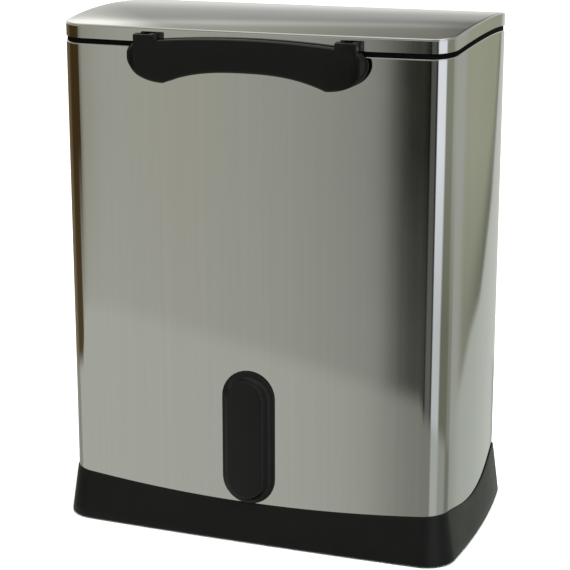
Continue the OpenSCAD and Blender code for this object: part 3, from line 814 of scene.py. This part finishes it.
# What stands round the bin in the studio, as the steel mirrors it. A list starts with a look, and each
# line of it says between which two angles the look turns into the next one. Angles are in degrees: the
# turn goes from -Y towards +X, and the rise goes up from the horizon.
# Just below the horizon, and lower down, round the studio
AROUND_HIGH = (0.72, 0.72, 0.66), [
    (-145, -132, (0.24, 0.17, 0.09)), (-100, -85, (0.09, 0.055, 0.02)), (-34, -30, (0.70, 0.71, 0.63)),
    (-30, -25, (0.67, 0.67, 0.58)), (-25, -20, (0.59, 0.61, 0.55)), (-20, -16, (0.49, 0.51, 0.46)),
    (-15.3, -14.2, (0.035, 0.035, 0.027)), (-12, -9, (0.015, 0.017, 0.012)),
    (-6, 0, (0.16, 0.16, 0.15)), (18, 22, (0.05, 0.05, 0.05)), (27, 30, (1.45, 1.50, 1.62)),
    (66, 73, (0.42, 0.44, 0.35)), (108, 120, (0.62, 0.68, 0.56)), (145, 156, (0.60, 0.61, 0.57)),
    (158.8, 160.5, (0.51, 0.52, 0.40)), (164, 173, (0.41, 0.43, 0.32))]
AROUND_LOW = (0.72, 0.72, 0.66), [
    (-145, -132, (0.32, 0.26, 0.18)), (-100, -85, (0.14, 0.10, 0.05)), (-52, -45, (0.72, 0.73, 0.66)),
    (-30, -25, (0.68, 0.68, 0.61)), (-25, -20, (0.61, 0.63, 0.57)), (-20, -16, (0.51, 0.53, 0.48)),
    (-15.3, -14.0, (0.10, 0.10, 0.09)), (-12, -9, (0.06, 0.06, 0.055)),
    (-6, 0, (0.22, 0.22, 0.20)), (18, 22, (0.10, 0.10, 0.10)), (27, 30, (1.0, 1.04, 1.08)),
    (62, 70, (0.28, 0.30, 0.22)), (112, 124, (0.42, 0.44, 0.37)), (145, 156, (0.56, 0.57, 0.52)),
    (158.8, 160.5, (0.37, 0.39, 0.30)), (164, 170, (0.29, 0.30, 0.23))]
# The pale sheet under the bin
SHEET_NEAR = (0.44, 0.45, 0.39), [
    (-95, -80, (0.79, 0.80, 0.74)), (-30, -20, (0.74, 0.75, 0.69)), (-20, -16, (0.65, 0.66, 0.60)),
    (-16, -13.6, (0.38, 0.39, 0.35)), (27, 33, (0.75, 0.80, 0.77)), (62, 75, (0.55, 0.56, 0.51)),
    (105, 120, (0.32, 0.34, 0.30)), (145, 157, (0.50, 0.53, 0.47)), (157, 160.6, (0.62, 0.66, 0.60)),
    (166, 176, (0.66, 0.69, 0.64))]
# The rise at which that sheet ends, and the dark skirt along its edge
SHEET_EDGE = -17.0, [
    (-60, -32, -15.2), (-30, -10, -18.9), (-10, 150, -20.0), (156, 159.5, -18.2), (159.5, 164, -16.2),
    (164, 169, -14.9), (169, 174.7, -11.6), (174.7, 178.5, -7.0), (178.5, 180, -2.0)]
SKIRT = (0.19, 0.195, 0.155)
# Looks above the horizon by the rise, and two lists that brighten or darken them round the studio
ABOVE = (0.82, 0.82, 0.80), [
    (3, 10, (0.53, 0.53, 0.51)), (10, 14, (0.47, 0.47, 0.45)), (16.2, 17.9, (0.78, 0.78, 0.74)),
    (18.5, 20.3, (0.50, 0.50, 0.45)), (22, 31, (0.40, 0.40, 0.35)), (50, 66, (1.25, 1.27, 1.3))]
ABOVE_TURN = grey(0.28), [
    (-165.2, -163.2, grey(0.62)), (-163.2, -156, grey(1.0)), (-153.4, -151.8, grey(1.4)),
    (-120, -90, grey(1.1)), (-20, -8, grey(0.5)), (26, 34, grey(3.5)), (62, 72, grey(1.2)),
    (160, 180, grey(0.7))]
FLARE = grey(1.0), [(-153.6, -151.8, grey(1.65)), (-120, -90, grey(1.0))]
# How many degrees the looks above the horizon lie below their place, round the studio
ABOVE_LEAN = -1.8, [(-180, -168, 4.7), (-168, -150, -1.8)]


def steps(s, angle, start, changes):
    """The look or number at an angle, by one of the lists above."""
    last = start
    for low, high, wanted in changes:
        last = s.mix(s.span(angle, 0, 1, (low, high)), last, wanted)
    return last


def world():
    made = bpy.data.worlds.new("studio")
    made.use_nodes = True
    bpy.context.scene.world = made
    s = Nodes(made.node_tree)
    split = s.add("ShaderNodeSeparateXYZ")
    s.link(s.add("ShaderNodeTexCoord").outputs["Generated"], split.inputs[0])
    to_degrees = 180 / math.pi
    back = s.math("MULTIPLY", split.outputs["Y"], -1.0)
    turn = s.math("MULTIPLY", s.math("ARCTAN2", split.outputs["X"], back), to_degrees)
    rise = s.math("MULTIPLY", s.math("ARCSINE", split.outputs["Z"], 0), to_degrees)

    far = s.mix(s.span(rise, 0, 1, (-10, -16)), steps(s, turn, *AROUND_HIGH), steps(s, turn, *AROUND_LOW))
    under = s.math("SUBTRACT", steps(s, turn, *SHEET_EDGE), rise)
    skirt = s.math("MULTIPLY", s.span(under, 0, 1, (-3.0, -0.8)), s.span(turn, 0, 0.95, (160, 171)))
    far = s.mix(skirt, far, SKIRT)
    low = s.mix(s.span(under, 0, 1, (-0.3, 0.3)), far, steps(s, turn, *SHEET_NEAR))

    leaning = s.math("ADD", rise, steps(s, turn, *ABOVE_LEAN))
    below_zenith = s.span(rise, 1, 0, (45, 75))
    shade = s.math("MULTIPLY", s.span(leaning, 0, 1, (13.5, 17.5)), below_zenith)
    high = s.mix(shade, steps(s, leaning, *ABOVE), steps(s, turn, *ABOVE_TURN), "MULTIPLY")
    high = s.mix(below_zenith, high, steps(s, turn, *FLARE), "MULTIPLY")
    background = made.node_tree.nodes["Background"]
    s.link(s.mix(s.span(rise, 0, 1, (-2, 0.5)), low, high), background.inputs["Color"])


def light(name, kind, energy):
    """A light that the steel doesn't mirror."""
    data = bpy.data.lights.new(name, kind)
    data.energy = energy
    made = bpy.data.objects.new(name, data)
    made.visible_glossy = False
    bpy.context.scene.collection.objects.link(made)
    return made, data


def lights():
    """A soft box above the front right, and an even glow from the whole ceiling."""
    box, data = light("overhead", "AREA", 40)
    data.shape = "RECTANGLE"
    data.size, data.size_y = 1.6, 1.2
    data.color = (0.93, 0.96, 1.0)
    box.location = (0.3, -0.4, 2.6)
    aim = Vector((0, 0, 0.3))
    box.rotation_euler = (aim - box.location).to_track_quat("-Z", "Y").to_euler()
    light("ceiling", "SUN", 3.0)[1].angle = math.radians(120)


camera()
floor()
world()
lights()
bpy.context.scene.view_settings.view_transform = "Standard"
